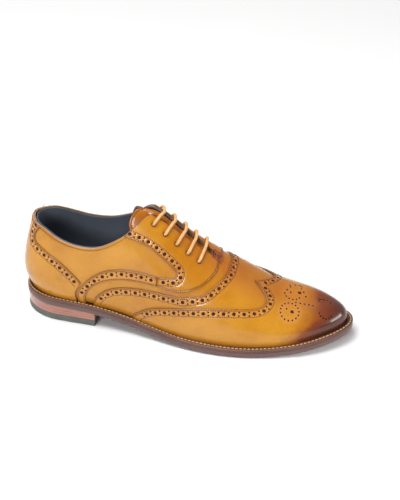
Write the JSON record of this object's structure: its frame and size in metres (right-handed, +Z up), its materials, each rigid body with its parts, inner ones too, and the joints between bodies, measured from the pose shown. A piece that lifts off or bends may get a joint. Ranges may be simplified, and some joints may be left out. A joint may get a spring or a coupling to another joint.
{
  "type": "leather oxford shoe",
  "caption": "Right shoe, closed-laced leather oxford with brogued wing cap, stacked heel, lining, tongue and straight-bar lacing.",
  "frame": {"origin": "middle of the shoe's box, on the plane that it stands on", "axes": "+X towards the toe, +Y towards the inner (medial) side, +Z up"},
  "size_m": [0.3102, 0.1006, 0.1191],
  "materials": {
    "upper_leather": "glossy burnished tan calf",
    "lining_leather": "smooth navy lining leather",
    "fibre_board": "stiffened lining board",
    "sole_leather": "stained and burnished sole leather",
    "welt_leather": "stained welt leather",
    "insole_leather": "undyed insole leather",
    "cork": "cork filler, matte",
    "shank_steel": "plain steel strip",
    "rubber": "dark grey moulded rubber",
    "stacked_heel": "burnished reddish-brown stacked leather",
    "nail_brass": "brass nail",
    "eyelet_metal": "blind eyelet, dark lacquer",
    "lace_cord": "round waxed cotton lace",
    "aglet": "wrapped plastic tip",
    "thread": "bar tack of thread"
  },
  "bodies": {
    "shoe": {"aglet_inner": "aglet", "aglet_outer": "aglet", "cork_filler": "cork", "eyelet_inner_1": "eyelet_metal", "eyelet_inner_2": "eyelet_metal", "eyelet_inner_3": "eyelet_metal", "eyelet_inner_4": "eyelet_metal", "eyelet_inner_5": "eyelet_metal", "eyelet_outer_1": "eyelet_metal", "eyelet_outer_2": "eyelet_metal", "eyelet_outer_3": "eyelet_metal", "eyelet_outer_4": "eyelet_metal", "eyelet_outer_5": "eyelet_metal", "facing_inner": "upper_leather", "facing_outer": "upper_leather", "heel_counter": "upper_leather", "heel_lift_1": "stacked_heel", "heel_lift_2": "stacked_heel", "heel_lift_3": "stacked_heel", "heel_nail_1": "nail_brass", "heel_nail_2": "nail_brass", "heel_nail_3": "nail_brass", "heel_nail_4": "nail_brass", "heel_nail_5": "nail_brass", "heel_stiffener": "fibre_board", "insole": "insole_leather", "lace": "lace_cord", "outsole": "sole_leather", "quarter_inner": "upper_leather", "quarter_lining": "lining_leather", "quarter_outer": "upper_leather", "shank": "shank_steel", "sock_liner": "lining_leather", "strap_inner": "upper_leather", "strap_outer": "upper_leather", "throat_bar_tack": "thread", "toe_puff": "fibre_board", "top_piece": "rubber", "vamp": "upper_leather", "vamp_interlining": "fibre_board", "vamp_lining": "lining_leather", "welt": "welt_leather", "wing_cap": "upper_leather"},
    "tongue_flap": {"tongue": "upper_leather", "tongue_lining": "lining_leather"}
  },
  "joints": [
    {"name": "tongue_hinge", "type": "hinge", "parent": "shoe", "child": "tongue_flap", "pos_m": [0.02873, 0.00178, 0.06515], "axis": [0, -1, 0], "range_deg": [0, 12], "stiffness_Nm_per_rad": 0.4}
  ]
}
